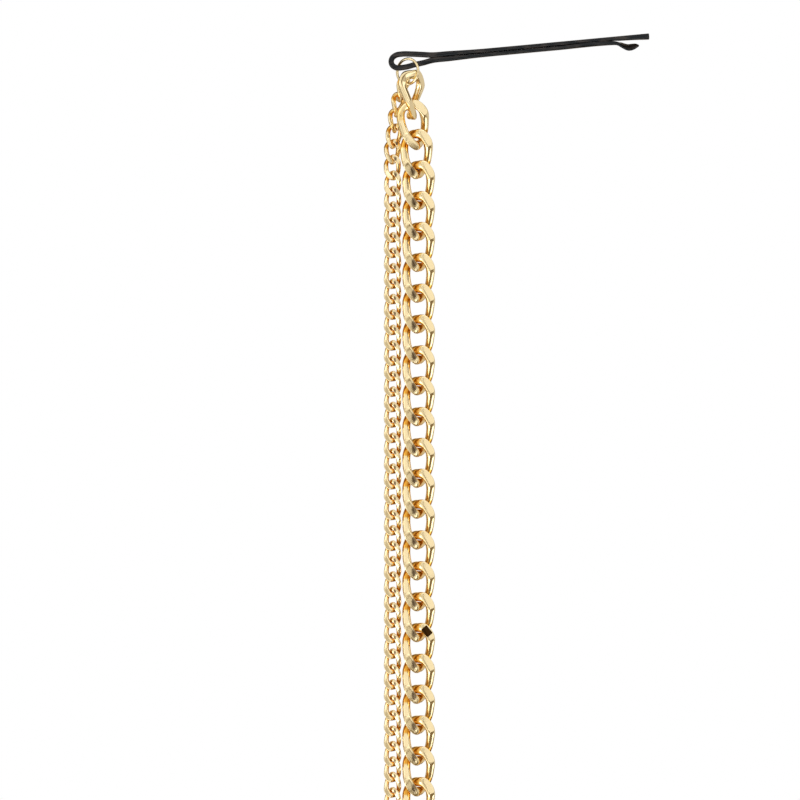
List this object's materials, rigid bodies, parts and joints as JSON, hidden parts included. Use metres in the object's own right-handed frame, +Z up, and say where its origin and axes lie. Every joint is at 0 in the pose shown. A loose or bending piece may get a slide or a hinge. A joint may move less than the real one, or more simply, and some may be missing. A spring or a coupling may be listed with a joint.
{
  "type": "hair chain",
  "caption": "Black hair pin with a gold jump ring in its eye and two gold curb chains, one heavy and one fine, hanging side by side.",
  "frame": {"origin": "in the slot between the hair pin's two legs, in the middle of the lock of hair that they grip", "axes": "+Z up, against the hanging chains; +X towards the pin's open end, which is tilted up by 5.3 degrees; +Y away from the viewer"},
  "size_m": [0.0517, 0.0064, 0.1547],
  "materials": {
    "black_enamel": "gloss",
    "ring_gold": "polished",
    "curb_gold": "polished",
    "fine_gold": "polished"
  },
  "bodies": {
    "root": {"hair_pin": "black_enamel", "jump_ring": "ring_gold", "fine_chain": "fine_gold", "curb_link_01": "curb_gold", "curb_link_02": "curb_gold", "curb_link_03": "curb_gold", "curb_link_04": "curb_gold", "curb_link_05": "curb_gold", "curb_link_06": "curb_gold", "curb_link_07": "curb_gold", "curb_link_08": "curb_gold", "curb_link_09": "curb_gold", "curb_link_10": "curb_gold", "curb_link_11": "curb_gold", "curb_link_12": "curb_gold", "curb_link_13": "curb_gold", "curb_link_14": "curb_gold", "curb_link_15": "curb_gold", "curb_link_16": "curb_gold", "curb_link_17": "curb_gold", "curb_link_18": "curb_gold", "curb_link_19": "curb_gold", "curb_link_20": "curb_gold", "curb_link_21": "curb_gold", "curb_link_22": "curb_gold", "curb_link_23": "curb_gold", "curb_link_24": "curb_gold"}
  },
  "joints": []
}
